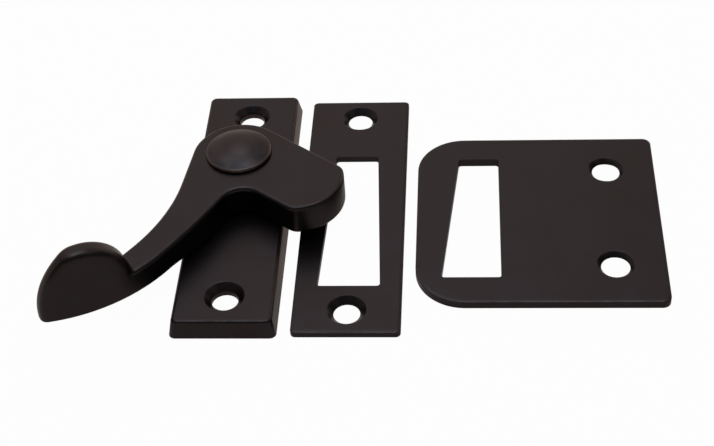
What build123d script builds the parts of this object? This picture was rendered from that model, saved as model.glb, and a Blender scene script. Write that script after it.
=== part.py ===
from build123d import *
from math import asin, atan2, cos, hypot, radians, sin, sqrt, tan
import os

# Turn-lever sash latch with two alternative strike plates, laid out flat.
# Millimetres. Origin: centre of the base plate's screw pattern, on its mounting face.
# +X runs across the plate towards the strikes, +Y along the plate, +Z out of the mounting face.

# Base plate
plate_width = 20.7
plate_length = 69.75
plate_thick = 3.9
plate_draft = 0.75
plate_corner = 1.3
plate_edge_round = 0.8
plate_hollow = 1.3
plate_rim = 2.0
plate_rib = 3.0
plate_screw_inset = 7.65
plate_screw_bore = 5.2
plate_screw_sink = 7.9
pivot_along = 6.9

# Pivot rivet and its backing ring
shank_bore = 6.0
head_width = 13.5
head_lip = 0.6
head_crown = 1.7
tail_width = 7.8
tail_flat = 4.0
tail_set_back = 0.2
burr_width = 9.6
burr_thick = 0.5

# Washers under the lever's hub
washer_width = 12.6
bearing_washer_thick = 0.6
spring_washer_thick = 0.35
spring_washer_dish = 0.45

# Running and seating clearances
bore_clearance = 0.06
head_clearance = 0.1
lever_clearance = 0.25
washer_bore_clearance = 0.2
washer_side_clearance = 0.5
spring_clearance = 0.1

# Lever, in its own frame: pivot at the origin, nose along +X, handle along -Y
lever_thick = 6.75
lever_edge_round = 0.9
rest_turn = 36.0
hub_radius = 9.6
nose_reach = 24.0
nose_radius = 9.75
nose_offset = 1.15
nose_front = 6.85
nose_back_fall = 1.45
nose_back_round = 2.2
nose_front_round = 3.0
armpit_round = 4.5
neck_drop = 15.0
neck_front = 6.75
neck_lean = 7.2
neck_back_inset = 8.0
neck_back_blend = 10.3
arm_width = 6.3
arm_lean = 0.75
arm_back_lean = 0.1
arm_straight = 5.9
handle_reach = 54.35
grip_drop = 23.7
grip_sweep = 9.45
tip_thick = 3.9

# Thumb fin, seen square to its face; distances run back from the tip
fin_turn = 19.5
fin_tip_rise = 0.3
fin_crest = 8.8
fin_crest_rise = 9.6
fin_crest_round = 4.1
fin_brow = 4.2
fin_brow_drop = 1.1
fin_lead = 18.6
fin_lead_rise = 0.7
fin_round = 1.7
handle_lift = 1.6

# Flat strike plate
flat_width = 21.0
flat_length = 69.6
flat_thick = 1.5
flat_corner = 1.0
flat_across = 23.45
flat_along = 0.3
flat_screw_inset = 5.9
flat_screw_bore = 5.2
flat_screw_sink = 7.7
flat_slot_wide = 12.3
flat_slot_narrow = 8.8
flat_slot_foot_inset = 12.3
flat_slot_head_inset = 18.8

# Rim strike plate
rim_width = 48.85
rim_length = 48.2
rim_thick = 1.9
rim_inner_corner = 9.7
rim_outer_corner = 1.7
rim_across = 60.84
rim_along = -2.85
rim_screw_pitch = 28.0
rim_screw_inset = 9.9
rim_screw_bore = 5.65
rim_screw_sink = 7.4
rim_slot_length = 34.95
rim_slot_wide = 11.7
rim_slot_narrow = 8.2
rim_slot_inset = 5.05

# Both strikes
strike_bevel = 0.7
strike_bevel_drop = 0.3
slot_corner = 0.6

# Cutting and sorting
cut_margin = 1.0
least_corner = 10.0

# Levels above the mounting face
lever_bottom = plate_thick + lever_clearance
lever_top = lever_bottom + lever_thick
handle_bottom = lever_bottom + handle_lift
head_bottom = lever_top + head_clearance
bearing_washer_top = plate_thick + bearing_washer_thick
spring_washer_top = bearing_washer_top + spring_washer_thick + spring_washer_dish
tail_top = plate_hollow - burr_thick

# Lengths that follow from those of their pieces
plate_screw_pitch = plate_length - 2 * plate_screw_inset
flat_screw_pitch = flat_length - 2 * flat_screw_inset
flat_slot_length = flat_length - flat_slot_foot_inset - flat_slot_head_inset
flat_slot_shift = (flat_slot_foot_inset - flat_slot_head_inset) / 2
arm_drop = handle_reach - grip_drop
neck_back_drop = arm_drop - neck_back_inset
arm_front = neck_front + (arm_drop - neck_drop) * tan(radians((neck_lean + arm_lean) / 2))
tip_offset = grip_sweep - arm_front

# Radii
shank_radius = shank_bore / 2
washer_inner = shank_radius + washer_bore_clearance
washer_outer = washer_width / 2


def screw_hole(bore, sink, thick, both_faces):
    """Clearance hole with a right-angled countersink at the top of a plate, or at both faces."""
    standing = (Align.CENTER, Align.CENTER, Align.MIN)
    depth = (sink - bore) / 2
    cone = Cone(bore / 2, sink / 2 + cut_margin, depth + cut_margin, align=standing)
    hole = Pos(0, 0, -cut_margin) * Cylinder(bore / 2, thick + 2 * cut_margin, align=standing)
    hole += Pos(0, 0, thick - depth) * cone
    if both_faces:
        hole += Pos(0, 0, depth) * Rot(180, 0, 0) * cone
    return hole


def screw_row(pitch, bore, sink, thick, both_faces=False):
    """Two screw holes in a row along Y, centred on the origin."""
    hole = screw_hole(bore, sink, thick, both_faces)
    return Pos(0, pitch / 2, 0) * hole + Pos(0, -pitch / 2, 0) * hole


def ring(inner, outer, thick):
    """Flat ring standing on the XY plane."""
    return extrude(Circle(outer) - Circle(inner), thick)


def tapered_slot(length, wide, narrow, lean, thick):
    """Through slot, wide at -Y; lean 0 tapers both sides alike, 1 tapers the left side only."""
    left_shift = (wide - narrow) / 2 * (1 + lean)
    right_shift = (wide - narrow) / 2 * (1 - lean)
    corners = [
        (-wide / 2, -length / 2),
        (wide / 2, -length / 2),
        (wide / 2 - right_shift, length / 2),
        (-wide / 2 + left_shift, length / 2),
    ]
    window = make_face(Polyline(*corners, close=True))
    window = fillet(window.vertices(), slot_corner)
    return Pos(0, 0, -cut_margin) * extrude(window, thick + 2 * cut_margin)


def top_rim(solid):
    """Edges round the top face of a plate."""
    return solid.faces().sort_by(Axis.Z)[-1].outer_wire().edges()


def base_plate():
    """Drafted plate with screw and rivet holes, hollow behind but for a rim and a cross rib."""
    foot = RectangleRounded(plate_width, plate_length, plate_corner)
    crown_width = plate_width - 2 * plate_draft
    crown = RectangleRounded(crown_width, plate_length - 2 * plate_draft, plate_corner)
    body = loft([foot.face(), (Pos(0, 0, plate_thick) * crown).face()])
    body = fillet(top_rim(body), plate_edge_round)
    body -= screw_row(plate_screw_pitch, plate_screw_bore, plate_screw_sink, plate_thick)
    hollow_width = plate_width - 2 * plate_rim
    hollow = RectangleRounded(hollow_width, plate_length - 2 * plate_rim, plate_corner)
    body -= extrude(hollow - Rectangle(hollow_width, plate_rib), plate_hollow)
    rivet_hole = Cylinder(shank_radius + bore_clearance, 2 * (plate_thick + cut_margin))
    return body - Pos(0, pivot_along, 0) * rivet_hole


def pivot_rivet():
    """Dome-headed rivet, its tail spread in the hollow behind the plate."""
    head_radius = head_width / 2
    lip_top = head_bottom + head_lip
    flat_end = (tail_flat / 2, tail_set_back)
    tail_edge = (tail_width / 2, tail_top)
    with BuildSketch(Plane.XZ) as half:
        with BuildLine():
            Line((0, tail_set_back), flat_end)
            TangentArc(flat_end, tail_edge, tangent=(1, 0))
            Polyline(
                tail_edge,
                (shank_radius, tail_top),
                (shank_radius, head_bottom),
                (head_radius, head_bottom),
                (head_radius, lip_top),
            )
            TangentArc((0, lip_top + head_crown), (head_radius, lip_top), tangent=(1, 0))
            Line((0, lip_top + head_crown), (0, tail_set_back))
        make_face()
    return Pos(0, pivot_along, 0) * revolve(half.sketch, Axis.Z)


def rivet_burr():
    """Ring that the rivet's tail is spread against."""
    burr = ring(shank_radius + bore_clearance, burr_width / 2, burr_thick)
    return Pos(0, pivot_along, tail_top) * burr


def bearing_washer():
    """Flat washer that the spring washer bears on."""
    return Pos(0, pivot_along, plate_thick) * ring(washer_inner, washer_outer, bearing_washer_thick)


def spring_washer():
    """Dished washer that keeps the lever where it is put."""
    corners = [
        (washer_outer, 0),
        (washer_outer, spring_washer_thick),
        (washer_inner, spring_washer_thick + spring_washer_dish),
        (washer_inner, spring_washer_dish),
    ]
    section = Plane.XZ * make_face(Polyline(*corners, close=True))
    return Pos(0, pivot_along, bearing_washer_top) * revolve(section, Axis.Z)


def line_to_circle(start, direction, centre, radius):
    """Far point where a line meets a circle."""
    along = (centre[0] - start[0]) * direction[0] + (centre[1] - start[1]) * direction[1]
    off = (centre[0] - start[0]) * direction[1] - (centre[1] - start[1]) * direction[0]
    reach = along + sqrt(radius**2 - off**2)
    return (start[0] + reach * direction[0], start[1] + reach * direction[1])


def hub_tangent(point, radius):
    """Point where a line from outside touches the hub's left side."""
    bearing = atan2(-point[1], -point[0]) + asin(radius / hypot(*point))
    return (-radius * sin(bearing), radius * cos(bearing))


def lever_outline():
    """Lever seen from above, run on past the thumb fin's tip."""
    fall = radians(nose_back_fall)
    nose_centre = (nose_reach - nose_radius, nose_offset)
    hub_end = (hub_radius * sin(fall), hub_radius * cos(fall))
    nose_back_corner = line_to_circle(hub_end, (cos(fall), -sin(fall)), nose_centre, nose_radius)
    nose_front_corner = line_to_circle((0, -nose_front), (1, 0), nose_centre, nose_radius)
    lean = tan(radians(neck_lean))
    armpit = (neck_front - (neck_drop - nose_front) * lean, -nose_front)
    front_neck = (neck_front, -neck_drop)
    front_arm = (arm_front, -arm_drop)
    front_tip = (-tip_offset, -handle_reach)
    back_slope = tan(radians(arm_back_lean))
    back_arm = (arm_front - arm_width, -arm_drop)
    back_bend = (back_arm[0] + arm_straight * back_slope, back_arm[1] - arm_straight)
    back_neck = (back_arm[0] - (arm_drop - neck_back_drop) * back_slope, -neck_back_drop)
    hub_start = hub_tangent(back_neck, hub_radius)
    neck_back_line = Line(back_neck, hub_start)
    neck_back_turn = (neck_back_line % 0).get_angle(Vector(-back_slope, 1))
    neck_back_round = neck_back_blend / tan(radians(neck_back_turn / 2))

    nose_end = ThreePointArc(nose_back_corner, (nose_reach, nose_offset), nose_front_corner)
    neck_line = Line(armpit, front_neck)
    front_upper = TangentArc(front_neck, front_arm, tangent=neck_line % 1)
    front_lower = TangentArc(front_arm, front_tip, tangent=front_upper % 1)
    heading = front_lower % 1
    back_tip = (front_tip[0] + heading.Y * tip_thick, front_tip[1] - heading.X * tip_thick)
    back_lower = TangentArc(back_bend, back_tip, tangent=(back_slope, -1))
    overrun = tip_thick
    front_end = front_lower @ 1 + heading * overrun
    back_end = back_lower @ 1 + (back_lower % 1) * overrun

    wire = Wire(
        [
            Line(hub_end, nose_back_corner),
            nose_end,
            Line(nose_front_corner, armpit),
            neck_line,
            front_upper,
            front_lower,
            Line(front_lower @ 1, front_end),
            Line(front_end, back_end),
            Line(back_end, back_lower @ 1),
            back_lower,
            Line(back_bend, back_neck),
            neck_back_line,
            ThreePointArc(hub_start, (-hub_radius * cos(fall), hub_radius * sin(fall)), hub_end),
        ]
    )
    outline = Sketch() + Face(wire)
    for corner, radius in (
        (nose_back_corner, nose_back_round),
        (nose_front_corner, nose_front_round),
        (armpit, armpit_round),
        (back_neck, neck_back_round),
    ):
        vertex = outline.vertices().sort_by_distance((corner[0], corner[1], 0))[0]
        outline = fillet(vertex, radius)
    return outline


def from_tip(sketch):
    """Stand a sketch in the thumb fin's face, X back from the tip and Y up, and run it through."""
    turn = radians(fin_turn)
    face_plane = Plane(
        origin=(-tip_offset, -handle_reach, 0),
        x_dir=(sin(turn), cos(turn), 0),
        z_dir=(cos(turn), -sin(turn), 0),
    )
    return extrude(face_plane * sketch, handle_reach, both=True)


def sharp_edges(solid):
    """Edges where two faces meet at a real corner, not smoothly."""
    found = []
    for edge in solid.edges():
        middle = edge @ 0.5
        normals = []
        for face in solid.faces():
            if any(edge.is_same(other) for other in face.edges()):
                normals.append(face.normal_at(middle))
        if len(normals) == 2 and normals[0].get_angle(normals[1]) > least_corner:
            found.append(edge)
    return found


def fin_shoulder(tip_top, crest):
    """Point where the upright arc of the fin's tip side meets the rounder arc of its crest."""
    rise = crest[1] - tip_top[1]
    spread = fin_crest**2 + rise**2 - 2 * rise * fin_crest_round
    tip_side_radius = spread / (2 * (fin_crest - fin_crest_round))
    share = tip_side_radius / (tip_side_radius - fin_crest_round)
    across = tip_side_radius + (fin_crest - tip_side_radius) * share
    return (across, tip_top[1] + (rise - fin_crest_round) * share)


def thumb_fin():
    """Upright leaf with a rounded rim, run down below the handle to be trimmed there."""
    tip_top = (0, handle_bottom + fin_tip_rise)
    crest = (fin_crest, lever_top + fin_crest_rise)
    brow = (fin_crest + fin_brow, crest[1] - fin_brow_drop)
    lead = (fin_lead, lever_top + fin_lead_rise)
    shoulder = fin_shoulder(tip_top, crest)
    tip_side = TangentArc(tip_top, shoulder, tangent=(0, 1))
    tip_crest = TangentArc(shoulder, crest, tangent=tip_side % 1)
    crest_brow = TangentArc(crest, brow, tangent=(1, 0))
    brow_lead = TangentArc(brow, lead, tangent=crest_brow % 1)
    slope = brow_lead % 1
    foot = (lead[0] - slope.X / slope.Y * lead[1], 0)
    sides = [Line((0, 0), tip_top), tip_side, tip_crest, crest_brow, brow_lead]
    sides += [Line(lead, foot), Line(foot, (0, 0))]
    leaf = make_face(Wire(sides))
    fin = extrude(lever_outline(), 2 * crest[1], dir=(0, 0, 1)) & from_tip(leaf)
    rim = [edge for edge in sharp_edges(fin) if edge.center().Z > cut_margin]
    return fillet(rim, fin_round)


def arm_and_nose():
    """Hub, nose and arm with rounded edges, cut off inside the thumb fin."""
    body = Pos(0, 0, lever_bottom) * extrude(lever_outline(), lever_thick, dir=(0, 0, 1))
    levels = body.faces().sort_by(Axis.Z)
    body = fillet(levels[-1].edges() + levels[0].edges(), lever_edge_round)
    return body - from_tip(Rectangle(2 * fin_crest, 4 * lever_top))


def handle_relief():
    """Space under the arm, which rises from the hub to a level handle."""
    turn = radians(fin_turn)
    hub_along = tip_offset * sin(turn) + handle_reach * cos(turn)
    corners = [
        (hub_along - hub_radius, lever_bottom),
        (fin_lead + fin_crest, handle_bottom),
        (-tip_thick, handle_bottom),
        (-tip_thick, -cut_margin),
        (hub_along - hub_radius, -cut_margin),
    ]
    return from_tip(make_face(Polyline(*corners, close=True)))


def lever():
    """Hub, nose, arm and thumb fin in one casting, bored for the rivet and turned to rest."""
    body = arm_and_nose() + thumb_fin() - handle_relief()
    bore = Cylinder(shank_radius + bore_clearance, 2 * (lever_top + cut_margin))
    recess_top = spring_washer_top + spring_clearance
    recess = Cylinder(washer_outer + washer_side_clearance, 2 * recess_top)
    return Pos(0, pivot_along, 0) * Rot(0, 0, -rest_turn) * (body - bore - recess)


def strike_outline(width, length, corner_radii, inset):
    """Rectangle with its own radius at the left and the right corners, drawn in by an inset."""
    outline = Rectangle(width - 2 * inset, length - 2 * inset)
    for side, radius in zip((0, -1), corner_radii):
        outline = fillet(outline.vertices().group_by(Axis.X)[side], radius - inset)
    return outline


def strike(width, length, thick, corner_radii):
    """Flat plate with a shallow bevel round its top."""
    foot = strike_outline(width, length, corner_radii, 0)
    crown = Pos(0, 0, thick) * strike_outline(width, length, corner_radii, strike_bevel)
    bevel_foot = Pos(0, 0, thick - strike_bevel_drop) * foot
    return extrude(foot, thick - strike_bevel_drop) + loft([bevel_foot.face(), crown.face()])


def flat_strike():
    """Long narrow strike with a slot that tapers on both sides."""
    plate = strike(flat_width, flat_length, flat_thick, (flat_corner, flat_corner))
    plate -= screw_row(flat_screw_pitch, flat_screw_bore, flat_screw_sink, flat_thick)
    slot = tapered_slot(flat_slot_length, flat_slot_wide, flat_slot_narrow, 0, flat_thick)
    plate -= Pos(0, flat_slot_shift, 0) * slot
    return Pos(flat_across, flat_along, 0) * plate


def rim_strike():
    """Squarish strike, slot by its rounded side, screws by its square side, sunk for either hand."""
    corner_radii = (rim_inner_corner, rim_outer_corner)
    plate = strike(rim_width, rim_length, rim_thick, corner_radii)
    screws = screw_row(rim_screw_pitch, rim_screw_bore, rim_screw_sink, rim_thick, both_faces=True)
    plate -= Pos(rim_width / 2 - rim_screw_inset, 0, 0) * screws
    slot = tapered_slot(rim_slot_length, rim_slot_wide, rim_slot_narrow, 1, rim_thick)
    plate -= Pos(rim_slot_inset + rim_slot_wide / 2 - rim_width / 2, 0, 0) * slot
    return Pos(rim_across, rim_along, 0) * plate


nodes = {
    "base_plate": base_plate,
    "pivot_rivet": pivot_rivet,
    "rivet_burr": rivet_burr,
    "bearing_washer": bearing_washer,
    "spring_washer": spring_washer,
    "lever": lever,
    "flat_strike": flat_strike,
    "rim_strike": rim_strike,
}

os.makedirs("parts", exist_ok=True)
for name, make in nodes.items():
    export_step(make(), f"parts/{name}.step")
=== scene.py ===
import logging
from dataclasses import dataclass
from enum import Enum
from math import asin, cos, hypot, pi, radians, sin
from typing import Union

import bmesh
import bpy
from mathutils import Matrix, Vector
from mathutils.kdtree import KDTree


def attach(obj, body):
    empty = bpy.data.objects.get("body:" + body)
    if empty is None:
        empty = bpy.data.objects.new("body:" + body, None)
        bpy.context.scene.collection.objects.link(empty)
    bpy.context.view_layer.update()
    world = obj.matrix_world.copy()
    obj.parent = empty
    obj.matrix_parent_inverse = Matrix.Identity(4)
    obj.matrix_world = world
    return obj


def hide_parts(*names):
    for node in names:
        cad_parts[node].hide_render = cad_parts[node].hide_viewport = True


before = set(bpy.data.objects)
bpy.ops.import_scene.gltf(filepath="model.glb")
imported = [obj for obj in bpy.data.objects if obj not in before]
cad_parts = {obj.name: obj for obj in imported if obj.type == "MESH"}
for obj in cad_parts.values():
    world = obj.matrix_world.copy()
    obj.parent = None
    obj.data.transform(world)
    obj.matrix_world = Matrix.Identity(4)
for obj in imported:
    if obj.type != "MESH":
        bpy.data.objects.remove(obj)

log = logging.getLogger("latch")

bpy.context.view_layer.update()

Pair = tuple[float, float]
Triple = tuple[float, float, float]
Section = list[Pair]
Term = Union["Value", float, tuple]

MM = 0.001
MIDDLE = 0.5
WHITE: Triple = (1.0, 1.0, 1.0)
COOL: Triple = (0.60, 0.84, 1.0)
WARM: Triple = (1.0, 0.92, 0.86)

# Meshes: how near corners merge, what counts as flat or as a corner, steps of an eased edge.
MERGE_REACH = 0.002 * MM
FLAT_ANGLE = radians(0.05)
CORNER_ANGLE = radians(32.0)
EASED_STEPS = 3

# Turned pieces: the circle that a half section is swept along, its steps, how near points join.
RING = 10.0 * MM
TURNED_STEPS = 128
JOIN_REACH = 0.001 * MM

# Mesh attribute for the painted highlight on the rivet's head, a warm patch on the crown and a
# bright line round its rim, from 0 to 1.
PAINTED_HIGHLIGHT = "painted_highlight"

# A Mix node has sockets for every data type. These are its factor and its colours.
MIX_SHARE, MIX_FIRST, MIX_SECOND, MIX_COLOUR = 0, 6, 7, 2


class Body(Enum):
    """Bodies of the frame that the pieces ride on."""

    BASE = "base"
    LEVER = "lever"
    FLAT_STRIKE = "flat_strike"
    RIM_STRIKE = "rim_strike"


class Slot(Enum):
    """Finish slots of the record."""

    DARK_BRONZE = "dark_bronze"
    SPRING_STEEL = "spring_steel"


class Value:
    """A shader socket that can be used in sums."""

    def __init__(self, tree: "ShaderTree", socket: bpy.types.NodeSocket) -> None:
        """Keep the tree and the socket."""
        self.tree = tree
        self.socket = socket

    def _math(self, operation: str, *terms: Term) -> "Value":
        """Result of one Math node, with the terms in the order of its sockets."""
        links = dict(enumerate(terms))
        return self.tree.node("ShaderNodeMath", {"operation": operation}, links)

    def __add__(self, other: Term) -> "Value":
        """Sum."""
        return self._math("ADD", self, other)

    def __radd__(self, other: Term) -> "Value":
        """Sum, turned round."""
        return self._math("ADD", other, self)

    def __sub__(self, other: Term) -> "Value":
        """Difference."""
        return self._math("SUBTRACT", self, other)

    def __rsub__(self, other: Term) -> "Value":
        """Difference, turned round."""
        return self._math("SUBTRACT", other, self)

    def __mul__(self, other: Term) -> "Value":
        """Product."""
        return self._math("MULTIPLY", self, other)

    def __rmul__(self, other: Term) -> "Value":
        """Product, turned round."""
        return self._math("MULTIPLY", other, self)

    def larger(self, other: Term) -> "Value":
        """The larger of two values."""
        return self._math("MAXIMUM", self, other)

    def spread(self, width: float) -> "Value":
        """How far the value lies from the middle of its range, scaled to a width."""
        return width * (self - MIDDLE)

    def within(self, low: float, high: float) -> "Value":
        """Smooth step between two limits.

        Args:
            low: Where the step is 0.
            high: Where the step is 1.

        Returns:
            The step.
        """
        settings = {"interpolation_type": "SMOOTHSTEP"}
        sockets = {"Value": self, "From Min": low, "From Max": high}
        return self.tree.node("ShaderNodeMapRange", settings, sockets)


@dataclass(frozen=True)
class Mottle:
    """Noise pattern: cells per metre, octaves and the share of the finer octaves."""

    scale: float
    detail: float = 2.0
    rough: float = 0.5


class ShaderTree:
    """A material's or the world's node tree, started empty."""

    def __init__(self, owner: Union[bpy.types.Material, bpy.types.World]) -> None:
        """Turn nodes on and clear them.

        Args:
            owner: The material or the world.
        """
        owner.use_nodes = True
        self.tree = owner.node_tree
        self.tree.nodes.clear()

    def node(
        self, kind: str, settings: dict, sockets: dict, output: Union[int, str] = 0
    ) -> Value:
        """Add one node.

        Args:
            kind: The node's type.
            settings: Properties, set before the sockets.
            sockets: Values or links by socket name or number.
            output: Name or number of the output to return.

        Returns:
            The chosen output, or the first input of a node that has none.
        """
        node = self.tree.nodes.new(kind)
        for name, setting in settings.items():
            setattr(node, name, setting)
        for name, term in sockets.items():
            if isinstance(term, Value):
                self.tree.links.new(term.socket, node.inputs[name])
            else:
                node.inputs[name].default_value = term
        return Value(self, node.outputs[output] if node.outputs else node.inputs[0])

    def place(self) -> Value:
        """Object coordinates."""
        return self.node("ShaderNodeTexCoord", {}, {}, "Object")

    def upward(self) -> Value:
        """Upward part of the surface's own normal."""
        normal = self.node("ShaderNodeTexCoord", {}, {}, "Normal")
        return self.node("ShaderNodeSeparateXYZ", {}, {"Vector": normal}, "Z")

    def noise(self, mottle: Mottle) -> Value:
        """Noise on object coordinates.

        Args:
            mottle: The pattern.

        Returns:
            A value from 0 to 1.
        """
        sockets = {
            "Vector": self.place(),
            "Scale": mottle.scale,
            "Detail": mottle.detail,
            "Roughness": mottle.rough,
        }
        return self.node("ShaderNodeTexNoise", {}, sockets, "Fac")

    def blend(self, share: Term, first: Term, second: Term) -> Value:
        """Colour between two others, by the share of the second."""
        sockets = {MIX_SHARE: share, MIX_FIRST: first, MIX_SECOND: second}
        return self.node("ShaderNodeMix", {"data_type": "RGBA"}, sockets, MIX_COLOUR)

    def bump(self, height: Value, strength: float, depth: float) -> Value:
        """Normal of a surface made uneven by a pattern, with its depth in metres."""
        sockets = {"Height": height, "Strength": strength, "Distance": depth}
        return self.node("ShaderNodeBump", {}, sockets)

    def end(self, kind: str, shader: Value) -> None:
        """Join a shader to an output node of that type."""
        self.node(kind, {}, {"Surface": shader})

    def end_in_principled(self, sockets: dict) -> None:
        """End a material in a Principled shader with those sockets."""
        shader = self.node("ShaderNodeBsdfPrincipled", {}, sockets)
        self.end("ShaderNodeOutputMaterial", shader)


def opaque(colour: Triple) -> tuple[float, float, float, float]:
    """A colour with full alpha."""
    return (*colour, 1.0)


@dataclass(frozen=True)
class DarkBronze:
    """Oil-rubbed bronze: near-black brown, satin, lighter where handling has thinned it at the
    edges, and with a painted highlight on the rivet's head.
    """

    name: str = "dark_bronze"
    colour: Triple = (0.0312, 0.0243, 0.0250)
    cloud_colour: Triple = (0.0308, 0.0226, 0.0220)
    # Colour of real edge wear, also laid on the painted highlight of the rivet's head.
    wear_and_highlight_colour: Triple = (0.100, 0.066, 0.057)
    edge_tint: Triple = (0.86, 0.80, 0.77)
    metallic: float = 1.0
    roughness: float = 0.36
    cloud: Mottle = Mottle(110.0, 4.0, 0.6)
    cloud_limits: Pair = (0.35, 0.68)
    cloud_spread: float = 0.10
    patch: Mottle = Mottle(420.0, 3.0, 0.6)
    patch_limits: Pair = (0.30, 0.70)
    edge_begins: Pair = (0.74, 0.86)
    edge_ends: Pair = (0.93, 0.995)
    worn_amount: float = 0.22
    worn_polish: float = 0.06
    grain: Mottle = Mottle(3200.0, 2.0, 0.55)
    grain_spread: float = 0.04
    grain_strength: float = 0.35
    grain_depth: float = 0.012 * MM

    def make(self) -> bpy.types.Material:
        """Build the material.

        Returns:
            The material.
        """
        material = bpy.data.materials.new(self.name)
        tree = ShaderTree(material)
        cloud = tree.noise(self.cloud)
        patch = tree.noise(self.patch)
        grain = tree.noise(self.grain)

        up = tree.upward()
        edge = up.within(*self.edge_begins) * (1.0 - up.within(*self.edge_ends))
        # Painted highlight on the rivet's head, read from its mesh attribute.
        painted_highlight = tree.node("ShaderNodeAttribute", {"attribute_name": PAINTED_HIGHLIGHT}, {}, "Fac")
        # Real edge wear on up-facing rounded edges, joined with the painted highlight; both take
        # the lighter wear colour.
        wear_and_highlight = (edge * patch.within(*self.patch_limits) * self.worn_amount).larger(painted_highlight)

        clouded = cloud.within(*self.cloud_limits)
        toned = tree.blend(clouded, opaque(self.colour), opaque(self.cloud_colour))
        satin = self.roughness + cloud.spread(self.cloud_spread) + grain.spread(self.grain_spread)
        tree.end_in_principled({
            "Base Color": tree.blend(wear_and_highlight, toned, opaque(self.wear_and_highlight_colour)),
            "Roughness": satin - self.worn_polish * wear_and_highlight,
            "Metallic": self.metallic,
            "Specular Tint": opaque(self.edge_tint),
            "Normal": tree.bump(grain, self.grain_strength, self.grain_depth),
        })
        return material


@dataclass(frozen=True)
class SpringSteel:
    """Bright rolled steel with fine marks, as stamped washers have."""

    name: str = "spring_steel"
    colour: Triple = (0.42, 0.42, 0.43)
    dull_colour: Triple = (0.26, 0.25, 0.24)
    metallic: float = 1.0
    roughness: float = 0.34
    stain: Mottle = Mottle(600.0, 4.0, 0.6)
    stain_limits: Pair = (0.4, 0.7)
    stain_spread: float = 0.2
    mark: Mottle = Mottle(5000.0)
    mark_strength: float = 0.4
    mark_depth: float = 0.006 * MM

    def make(self) -> bpy.types.Material:
        """Build the material.

        Returns:
            The material.
        """
        material = bpy.data.materials.new(self.name)
        tree = ShaderTree(material)
        stain = tree.noise(self.stain)
        mark = tree.noise(self.mark)
        stained = stain.within(*self.stain_limits)
        tree.end_in_principled({
            "Base Color": tree.blend(stained, opaque(self.colour), opaque(self.dull_colour)),
            "Roughness": self.roughness + stain.spread(self.stain_spread),
            "Metallic": self.metallic,
            "Normal": tree.bump(mark, self.mark_strength, self.mark_depth),
        })
        return material


@dataclass(frozen=True)
class Finishes:
    """The materials that the pieces share."""

    bronze: bpy.types.Material
    steel: bpy.types.Material


def link(name: str, mesh: bpy.types.Mesh) -> bpy.types.Object:
    """Put a mesh in the scene.

    Args:
        name: The new object's name.
        mesh: Its mesh.

    Returns:
        The object.
    """
    obj = bpy.data.objects.new(name, mesh)
    bpy.context.scene.collection.objects.link(obj)
    return obj


def drop_flakes(work: bmesh.types.BMesh) -> None:
    """Delete faces that lie back to back on the same corners.

    Args:
        work: The mesh.
    """
    stacks: dict[frozenset, list[bmesh.types.BMFace]] = {}
    for face in work.faces:
        stacks.setdefault(frozenset(face.verts), []).append(face)
    flakes = [face for stack in stacks.values() if len(stack) > 1 for face in stack]
    bmesh.ops.delete(work, geom=flakes, context="FACES")


def merged_copy(node: str, name: str, whole_flats: bool = True) -> bpy.types.Object:
    """Copy a frame node's mesh with its loose triangles joined.

    Args:
        node: The node's name.
        name: The new piece's name.
        whole_flats: Whether triangles in one plane become one face.

    Returns:
        The new piece.
    """
    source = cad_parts[node].data
    mesh = bpy.data.meshes.new(name)
    corners = [tuple(vertex.co) for vertex in source.vertices]
    mesh.from_pydata(corners, [], [tuple(face.vertices) for face in source.polygons])
    work = bmesh.new()
    work.from_mesh(mesh)
    bmesh.ops.remove_doubles(work, verts=work.verts, dist=MERGE_REACH)
    if whole_flats:
        bmesh.ops.dissolve_limit(
            work, angle_limit=FLAT_ANGLE, verts=work.verts, edges=work.edges
        )
    work.to_mesh(mesh)
    work.free()
    return link(name, mesh)


def flatten(obj: bpy.types.Object) -> None:
    """Make a piece's modifiers part of its mesh.

    Args:
        obj: The piece.
    """
    graph = bpy.context.evaluated_depsgraph_get()
    mesh = bpy.data.meshes.new_from_object(obj.evaluated_get(graph))
    obj.modifiers.clear()
    old = obj.data
    obj.data = mesh
    bpy.data.meshes.remove(old)


def ease_edges(obj: bpy.types.Object, width: float) -> None:
    """Round a piece's sharp edges, as tumbling does.

    Args:
        obj: The piece.
        width: Width of the rounding in metres.
    """
    bevel = obj.modifiers.new("Eased edges", "BEVEL")
    bevel.width = width
    bevel.segments = EASED_STEPS
    bevel.limit_method = "ANGLE"
    bevel.angle_limit = CORNER_ANGLE
    flatten(obj)


def smooth(obj: bpy.types.Object) -> None:
    """Shade a piece smooth, with its real corners and its flats kept.

    Args:
        obj: The piece.
    """
    obj.data.shade_smooth()
    obj.data.set_sharp_from_angle(angle=CORNER_ANGLE)
    weighted = obj.modifiers.new("Flats kept", "WEIGHTED_NORMAL")
    weighted.keep_sharp = True
    flatten(obj)


def hand_over(
    obj: bpy.types.Object, body: Body, node: str, finish: bpy.types.Material
) -> None:
    """Dress a piece and seat it on its body in place of a node.

    Args:
        obj: The piece.
        body: Body that it rides on.
        node: The node that it stands for.
        finish: Its material.
    """
    obj.data.materials.clear()
    obj.data.materials.append(finish)
    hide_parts(node)
    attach(obj, body.value)


@dataclass
class Plate:
    """A flat piece: the base plate or a strike."""

    node: str
    body: Body
    edge: float = 0.12 * MM

    def build(self, finishes: Finishes) -> list[bpy.types.Object]:
        """Copy the plate, ease its edges and dress it.

        Args:
            finishes: The shared materials.

        Returns:
            The plate alone.
        """
        obj = merged_copy(self.node, f"{self.node}_dressed")
        ease_edges(obj, self.edge)
        smooth(obj)
        hand_over(obj, self.body, self.node, finishes.bronze)
        return [obj]


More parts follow.
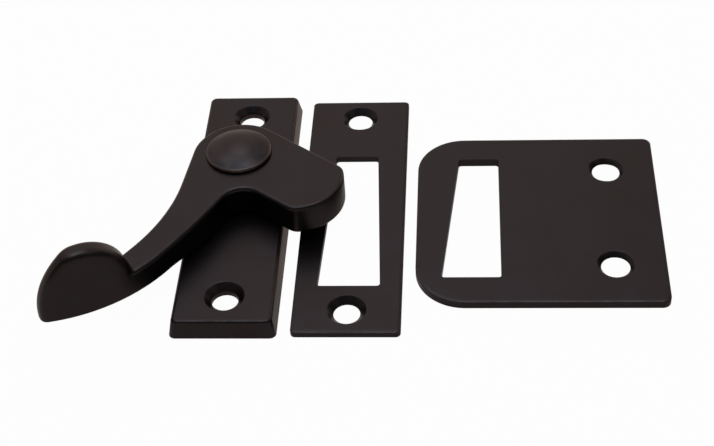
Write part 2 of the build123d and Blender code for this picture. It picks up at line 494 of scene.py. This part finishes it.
@dataclass
class Lever:
    """The casting: hub, nose, arm and thumb fin."""

    node: str = "lever"
    crease_level: float = 9.5 * MM
    crease_end: float = -5.0 * MM
    crease_angle: float = 15.0
    blend_reach: float = 1.6 * MM
    blend_step: float = 0.35 * MM
    split_margin: float = 1.3
    splits: int = 9
    passes: int = 16
    softness: float = 0.5

    def is_crease(self, edge: bmesh.types.BMEdge) -> bool:
        """Whether an edge lies in the hollow corner between the arm's top and the fin.

        Args:
            edge: The edge.

        Returns:
            True where it does.
        """
        high = min(vertex.co.z for vertex in edge.verts) > self.crease_level
        on_arm = max(vertex.co.x for vertex in edge.verts) < self.crease_end
        if not (high and on_arm and len(edge.link_faces) == 2):
            return False
        return edge.calc_face_angle_signed() < -radians(self.crease_angle)

    def crease_tree(self, crease: list[bmesh.types.BMEdge]) -> KDTree:
        """Gather points along the crease for searching.

        Args:
            crease: The crease's edges.

        Returns:
            Both ends and the middle of each edge.
        """
        points = []
        for edge in crease:
            start, end = (vertex.co for vertex in edge.verts)
            points += [start.copy(), start.lerp(end, MIDDLE), end.copy()]
        tree = KDTree(len(points))
        for number, point in enumerate(points):
            tree.insert(point, number)
        tree.balance()
        return tree

    def near(self, edge: bmesh.types.BMEdge, tree: KDTree) -> bool:
        """Whether any part of an edge comes near the crease.

        Args:
            edge: The edge.
            tree: Points along the crease.

        Returns:
            True where it does.
        """
        reach = self.split_margin * self.blend_reach
        start, end = (vertex.co for vertex in edge.verts)
        parts = max(1, int(edge.calc_length() / reach))
        stops = (start.lerp(end, part / parts) for part in range(parts + 1))
        return any(tree.find(stop)[2] < reach for stop in stops)

    def split_near(self, work: bmesh.types.BMesh, tree: KDTree) -> None:
        """Split faces near the crease until their edges are short.

        Args:
            work: The casting's mesh.
            tree: Points along the crease.
        """
        for _ in range(self.splits):
            long = [edge for edge in work.edges if edge.calc_length() > self.blend_step]
            long = [edge for edge in long if self.near(edge, tree)]
            if not long:
                break
            bmesh.ops.subdivide_edges(work, edges=long, cuts=1)
            wide = [face for face in work.faces if len(face.verts) > 3]
            bmesh.ops.triangulate(work, faces=wide)
            drop_flakes(work)

    def blend_crease(self, obj: bpy.types.Object) -> None:
        """Soften the corner between arm and fin, as the casting's mould did.

        Args:
            obj: The casting.
        """
        work = bmesh.new()
        work.from_mesh(obj.data)
        crease = [edge for edge in work.edges if self.is_crease(edge)]
        tree = self.crease_tree(crease)
        self.split_near(work, tree)
        soft = [vertex for vertex in work.verts if tree.find(vertex.co)[2] < self.blend_reach]
        every_way = {f"use_axis_{axis}": True for axis in "xyz"}
        for _ in range(self.passes):
            bmesh.ops.smooth_vert(work, verts=soft, factor=self.softness, **every_way)
        work.to_mesh(obj.data)
        work.free()
        log.info("crease: %d edges, %d corners eased", len(crease), len(soft))

    def build(self, finishes: Finishes) -> list[bpy.types.Object]:
        """Copy the casting, soften its crease and dress it.

        Args:
            finishes: The shared materials.

        Returns:
            The casting alone.
        """
        obj = merged_copy(self.node, "lever_casting", whole_flats=False)
        self.blend_crease(obj)
        smooth(obj)
        hand_over(obj, Body.LEVER, self.node, finishes.bronze)
        return [obj]


class Turning:
    """Geometry Nodes tree that turns a half section round an upright axis."""

    def __init__(self) -> None:
        """Make the tree and its named inputs."""
        self.group = bpy.data.node_groups.new("turning", "GeometryNodeTree")
        face = self.group.interface
        face.new_socket("Half section", in_out="INPUT", socket_type="NodeSocketGeometry")
        kinds = {"Ring": "Float", "Steps": "Int", "Axis": "Vector", "Finish": "Material"}
        self.sockets = {
            name: face.new_socket(
                name, in_out="INPUT", socket_type=f"NodeSocket{kind}"
            ).identifier
            for name, kind in kinds.items()
        }
        face.new_socket("Piece", in_out="OUTPUT", socket_type="NodeSocketGeometry")
        self.wire()

    def add(self, kind: str, **links: bpy.types.NodeSocket) -> bpy.types.NodeSocket:
        """Add one node.

        Args:
            kind: The node's type.
            links: Sockets to join, by input name with underscores for spaces.

        Returns:
            The node's first output, or its first input where it has none.
        """
        node = self.group.nodes.new(kind)
        for name, socket in links.items():
            self.group.links.new(socket, node.inputs[name.replace("_", " ")])
        return node.outputs[0] if node.outputs else node.inputs[0]

    def wire(self) -> None:
        """Join the nodes from half section to finished piece."""
        entry = self.group.nodes.new("NodeGroupInput").outputs
        inward = self.group.nodes.new("ShaderNodeMath")
        inward.operation = "MULTIPLY"
        inward.inputs[1].default_value = -1.0
        self.group.links.new(entry["Ring"], inward.inputs[0])
        shift = self.add("ShaderNodeCombineXYZ", X=inward.outputs[0])
        section = self.add("GeometryNodeMeshToCurve", Mesh=entry["Half section"])
        section = self.add("GeometryNodeTransform", Geometry=section, Translation=shift)
        ring = self.add(
            "GeometryNodeCurvePrimitiveCircle", Resolution=entry["Steps"], Radius=entry["Ring"]
        )
        turned = self.add("GeometryNodeCurveToMesh", Curve=ring, Profile_Curve=section)
        joined = self.group.nodes.new("GeometryNodeMergeByDistance")
        joined.inputs["Distance"].default_value = JOIN_REACH
        self.group.links.new(turned, joined.inputs["Geometry"])
        placed = self.add(
            "GeometryNodeTransform", Geometry=joined.outputs[0], Translation=entry["Axis"]
        )
        whole = self.add("GeometryNodeRealizeInstances", Geometry=placed)
        dressed = self.add("GeometryNodeSetMaterial", Geometry=whole, Material=entry["Finish"])
        self.add("NodeGroupOutput", Piece=dressed)

    def turn(
        self, name: str, section: Section, axis: Triple, finish: bpy.types.Material
    ) -> bpy.types.Object:
        """Turn a half section into a plain mesh.

        A section that begins off the axis runs back to its start, as a washer's does.

        Args:
            name: The piece's name.
            section: Radius and height of each corner, from the top outwards and down.
            axis: Place of the axis.
            finish: The piece's material.

        Returns:
            The piece.
        """
        last = len(section)
        closed = section[0][0] > 0.0
        sides = [(number, (number + 1) % last) for number in range(last if closed else last - 1)]
        mesh = bpy.data.meshes.new(name)
        mesh.from_pydata([(radius, -height, 0.0) for radius, height in section], sides, [])
        obj = link(name, mesh)
        modifier = obj.modifiers.new("Turning", "NODES")
        modifier.node_group = self.group
        modifier[self.sockets["Ring"]] = RING
        modifier[self.sockets["Steps"]] = TURNED_STEPS
        modifier[self.sockets["Axis"]] = axis
        modifier[self.sockets["Finish"]] = finish
        flatten(obj)
        return obj


def bow(steep: Pair, level: Pair, steps: int) -> Section:
    """Points along an arc that ends level.

    Args:
        steep: Radius and height where it begins.
        level: Radius and height where it ends.
        steps: Number of steps.

    Returns:
        Radius and height of each point, both ends included.
    """
    across, rise = steep[0] - level[0], steep[1] - level[1]
    radius = (across**2 + rise**2) / (2 * rise)
    angles = [asin(across / radius) * step / steps for step in range(steps, -1, -1)]
    return [
        (level[0] + radius * sin(angle), level[1] + radius * (1 - cos(angle))) for angle in angles
    ]


@dataclass
class Pivot:
    """The rivet, its backing ring and the washers under the hub."""

    axis: Triple = (0.0, 6.9 * MM, 0.0)
    shank: float = 3.0 * MM
    head: float = 6.75 * MM
    head_levels: Triple = (11.0 * MM, 11.6 * MM, 13.3 * MM)
    head_round: float = 0.55 * MM
    dome_steps: int = 28
    round_steps: int = 8
    tail: float = 3.9 * MM
    tail_flat: float = 2.0 * MM
    tail_levels: Pair = (0.2 * MM, 0.8 * MM)
    tail_steps: int = 8
    burr: tuple[float, float, float, float] = (3.06 * MM, 4.8 * MM, 0.8 * MM, 1.3 * MM)
    washer: Pair = (3.2 * MM, 6.3 * MM)
    washer_levels: Pair = (3.9 * MM, 4.5 * MM)
    spring_thick: float = 0.35 * MM
    spring_dish: float = 0.45 * MM
    edge: float = 0.1 * MM
    # Painted highlight on the head: centre and reach of the warm patch on the crown, its
    # strength, the strength of the bright line round the rim and how fast that line rises across
    # the rim's rounding.
    highlight_place: Pair = (0.5 * MM, 5.4 * MM)
    highlight_reach: float = 2.6 * MM
    crown_highlight: float = 0.20
    rim_highlight: float = 0.65
    rim_ramp: float = 2.0

    def dome(self) -> Section:
        """Half section of the rivet's domed head with its rim rounded over.

        Returns:
            Radius and height of each point, from the crown outwards.
        """
        _, lip, crown = self.head_levels
        rise = crown - lip
        ball = (self.head**2 + rise**2) / (2 * rise)
        inner, reach = self.head - self.head_round, ball - self.head_round
        turn = asin(inner / reach)
        level = crown - ball
        angles = [turn * step / self.dome_steps for step in range(self.dome_steps + 1)]
        points = [(ball * sin(angle), level + ball * cos(angle)) for angle in angles]
        centre = level + reach * cos(turn)
        for step in range(1, self.round_steps + 1):
            angle = turn + (pi / 2 - turn) * step / self.round_steps
            across, up = self.head_round * sin(angle), self.head_round * cos(angle)
            points.append((inner + across, centre + up))
        return points

    def rivet_section(self) -> Section:
        """Half section of the rivet.

        Returns:
            Radius and height of each point, from its crown down to its tail.
        """
        under = self.head_levels[0]
        back, seat = self.tail_levels
        shank = [(self.head, under), (self.shank, under), (self.shank, seat)]
        tail = bow((self.tail, seat), (self.tail_flat, back), self.tail_steps)
        return self.dome() + shank + tail + [(0.0, back)]

    def ring_section(self, inner: float, outer: float, low: float, high: float) -> Section:
        """Half section of a flat ring."""
        return [(inner, high), (outer, high), (outer, low), (inner, low)]

    def spring_section(self) -> Section:
        """Half section of the dished washer.

        Returns:
            Radius and height of its four corners.
        """
        inner, outer = self.washer
        low = self.washer_levels[1]
        high = low + self.spring_dish
        top = [(inner, high + self.spring_thick), (outer, low + self.spring_thick)]
        return top + [(outer, low), (inner, high)]

    def paint_highlight(self, obj: bpy.types.Object) -> None:
        """Paint a highlight on the rivet's head: a warm patch on the crown and a bright line
        round the rim.

        Args:
            obj: A turned piece; only the head's height is marked.
        """
        mark = obj.data.attributes.new(PAINTED_HIGHLIGHT, "FLOAT", "POINT")
        for vertex, share in zip(obj.data.vertices, mark.data):
            x, y, z = vertex.co
            if z > self.head_levels[0]:
                away = hypot(x - self.highlight_place[0], y - self.highlight_place[1])
                # Painted highlight: a warm patch on the crown, fading out from a point a little
                # in front of the axis.
                crown = self.crown_highlight * (1.0 - (away / self.highlight_reach) ** 2)
                # Painted highlight: a bright line round the rim's rounding.
                radius = hypot(x - self.axis[0], y - self.axis[1])
                over = 1.0 - (self.head - radius) / self.head_round
                rim = self.rim_highlight * min(1.0, self.rim_ramp * over)
                share.value = max(0.0, crown, rim)

    def build(self, finishes: Finishes) -> list[bpy.types.Object]:
        """Turn each piece and dress it.

        Args:
            finishes: The shared materials.

        Returns:
            The rivet, its ring and the two washers.
        """
        pieces = []
        turning = Turning()
        bearing = self.ring_section(*self.washer, *self.washer_levels)
        for node, section, slot, finish in (
            ("pivot_rivet", self.rivet_section(), Slot.DARK_BRONZE, finishes.bronze),
            ("rivet_burr", self.ring_section(*self.burr), Slot.DARK_BRONZE, finishes.bronze),
            ("bearing_washer", bearing, Slot.SPRING_STEEL, finishes.steel),
            ("spring_washer", self.spring_section(), Slot.SPRING_STEEL, finishes.steel),
        ):
            obj = turning.turn(f"{node}_turned", section, self.axis, finish)
            ease_edges(obj, self.edge)
            smooth(obj)
            # Painted highlight; only the rivet's head reaches that height, the other pieces get
            # none.
            self.paint_highlight(obj)
            hand_over(obj, Body.BASE, node, finish)
            pieces.append(obj)
        return pieces


@dataclass(frozen=True)
class Lamp:
    """An area lamp: its place and size in metres, its power in watts and its colour."""

    name: str
    place: Triple
    size: Pair
    power: float
    colour: Triple

    def hang(self) -> None:
        """Put the lamp in the scene, facing the object."""
        data = bpy.data.lights.new(self.name, "AREA")
        data.shape = "RECTANGLE"
        data.size, data.size_y = self.size
        data.energy = self.power
        data.color = self.colour
        obj = bpy.data.objects.new(self.name, data)
        obj.location = self.place
        obj.rotation_euler = (-Vector(self.place)).to_track_quat("-Z", "Y").to_euler()
        bpy.context.scene.collection.objects.link(obj)


@dataclass
class Studio:
    """White table, soft lamps above and behind, and dark cards round the camera."""

    floor_size: float = 40.0
    floor_colour: Triple = (0.60, 0.60, 0.60)
    table_white: float = 0.975
    table_warmth: Triple = (1.0, 0.93, 0.88)
    table_shine: float = 0.34
    bright_shine: float = 0.74
    behind: Pair = (30.0 * MM, 60.0 * MM)
    beside: Pair = (-48.0 * MM, 20.0 * MM)
    beside_edge: Pair = (13.0 * MM, 17.0 * MM)
    world_level: float = 0.58
    lamps: tuple[Lamp, ...] = (
        Lamp("softbox", (-0.08, 0.12, 0.7), (0.56, 0.56), 1.25, COOL),
        Lamp("strip", (0.06, -0.07, 0.7), (0.7, 0.12), 0.75, COOL),
        Lamp("window", (-0.3, 0.75, 0.75), (1.2, 1.0), 1.68, WHITE),
        Lamp("rear", (0.7, 0.7, 0.22), (0.8, 0.4), 0.8, WARM),
    )
    card_distance: float = 0.35
    card_foot: float = 0.14
    card_height: float = 1.2
    card_width: float = 1.2
    side_height: float = 0.42
    left_depth: float = 0.33
    right_depth: float = 0.75
    card_colour: Triple = (0.17, 0.16, 0.16)

    def sheet(
        self, name: str, corners: list[Triple], material: bpy.types.Material
    ) -> bpy.types.Object:
        """Make a flat stage sheet from its corners.

        Args:
            name: The sheet's name.
            corners: Its corners in order.
            material: Its material.

        Returns:
            The sheet.
        """
        mesh = bpy.data.meshes.new(name)
        mesh.from_pydata(corners, [], [tuple(range(len(corners)))])
        mesh.materials.append(material)
        obj = link(name, mesh)
        return obj

    def table_top(self) -> bpy.types.Material:
        """White table that keeps a trace of the object's shadow.

        Metal sees it darker than the camera does, and brighter behind and beside the object.

        Returns:
            The material.
        """
        material = bpy.data.materials.new("table_top")
        tree = ShaderTree(material)
        camera = tree.node("ShaderNodeLightPath", {}, {}, "Is Camera Ray")
        glossy = tree.node("ShaderNodeLightPath", {}, {}, "Is Glossy Ray")
        through = tree.node("ShaderNodeLightPath", {}, {}, "Is Transmission Ray")

        place = {"Vector": tree.place()}
        across = tree.node("ShaderNodeSeparateXYZ", {}, place, "X")
        along = tree.node("ShaderNodeSeparateXYZ", {}, place, "Y")
        beside = along.within(*self.beside) * (1.0 - across.within(*self.beside_edge))
        bright = beside.larger(along.within(*self.behind))
        shine = self.table_shine + (self.bright_shine - self.table_shine) * bright
        seen = (self.table_white * camera).larger(shine * glossy.larger(through))

        matt = tree.node("ShaderNodeBsdfDiffuse", {}, {"Color": opaque(self.floor_colour)})
        tone = tree.blend(camera, opaque(self.table_warmth), opaque(WHITE))
        white = tree.node("ShaderNodeEmission", {}, {"Color": tone, "Strength": 1.0})
        mixed = tree.node("ShaderNodeMixShader", {}, {0: seen, 1: matt, 2: white})
        tree.end("ShaderNodeOutputMaterial", mixed)
        return material

    def dark_card(self) -> bpy.types.Material:
        """Dark grey card.

        Returns:
            The material.
        """
        material = bpy.data.materials.new("dark_card")
        tree = ShaderTree(material)
        matt = tree.node("ShaderNodeBsdfDiffuse", {}, {"Color": opaque(self.card_colour)})
        tree.end("ShaderNodeOutputMaterial", matt)
        return material

    def light_world(self) -> None:
        """Give the scene plain white light from all round."""
        world = bpy.data.worlds.new("studio")
        bpy.context.scene.world = world
        tree = ShaderTree(world)
        sky = {"Color": opaque(WHITE), "Strength": self.world_level}
        tree.end("ShaderNodeOutputWorld", tree.node("ShaderNodeBackground", {}, sky))

    def lay_table(self) -> None:
        """Lay the table under the object."""
        half = self.floor_size / 2
        floor = [(-half, -half, 0.0), (half, -half, 0.0), (half, half, 0.0), (-half, half, 0.0)]
        self.sheet("table", floor, self.table_top())

    def stand_cards(self) -> None:
        """Stand dark cards in front and at both sides, unseen by the camera."""
        side = self.card_width / 2
        near = -self.card_distance
        foot, head, top = self.card_foot, self.card_height, self.side_height
        cards = {
            "front_card": [
                (-side, near, foot), (-side, near, head), (side, near, head), (side, near, foot)
            ]
        }
        for name, across, depth in (
            ("left_card", -side, self.left_depth),
            ("right_card", side, self.right_depth),
        ):
            far = near + depth
            cards[name] = [
                (across, near, 0.0), (across, far, 0.0), (across, far, top), (across, near, top)
            ]
        dark = self.dark_card()
        for name, corners in cards.items():
            self.sheet(name, corners, dark).visible_camera = False

    def build(self) -> None:
        """Set the view transform, the light and the stage."""
        bpy.context.scene.view_settings.view_transform = "Standard"
        self.light_world()
        for lamp in self.lamps:
            lamp.hang()
        self.lay_table()
        self.stand_cards()


@dataclass
class Viewpoint:
    """Camera at the photograph's place: millimetres, and pixels for the focal length."""

    place: Triple = (46.34788, -231.43758, 212.76065)
    right: Triple = (0.9974705, 0.0481480, -0.0522915)
    up: Triple = (0.0054752, 0.6814233, 0.7318691)
    focal_pixels: float = 1534.406
    picture_width: float = 714.0
    sensor: float = 36.0
    near_limit: float = 0.01

    def build(self) -> None:
        """Make the camera and look through it."""
        data = bpy.data.cameras.new("camera")
        data.sensor_fit = "HORIZONTAL"
        data.sensor_width = self.sensor
        data.lens = self.focal_pixels / self.picture_width * self.sensor
        data.clip_start = self.near_limit
        obj = bpy.data.objects.new("camera", data)
        right = Vector(self.right).normalized()
        back = right.cross(Vector(self.up)).normalized()
        up = back.cross(right)
        turn = Matrix((right, up, back)).transposed()
        obj.matrix_world = Matrix.Translation(Vector(self.place) * MM) @ turn.to_4x4()
        bpy.context.scene.collection.objects.link(obj)
        bpy.context.scene.camera = obj


def main() -> None:
    """Build every sub-assembly in order and report its pieces."""
    logging.basicConfig(level=logging.INFO, format="%(name)s: %(message)s")
    Viewpoint().build()
    finishes = Finishes(bronze=DarkBronze().make(), steel=SpringSteel().make())
    for assembly in (
        Plate("base_plate", Body.BASE),
        Pivot(),
        Lever(),
        Plate("flat_strike", Body.FLAT_STRIKE),
        Plate("rim_strike", Body.RIM_STRIKE),
    ):
        for piece in assembly.build(finishes):
            finish = piece.data.materials[0].name
            log.info("%s: %d faces in %s", piece.name, len(piece.data.polygons), finish)
    Studio().build()


if __name__ == "__main__":
    main()
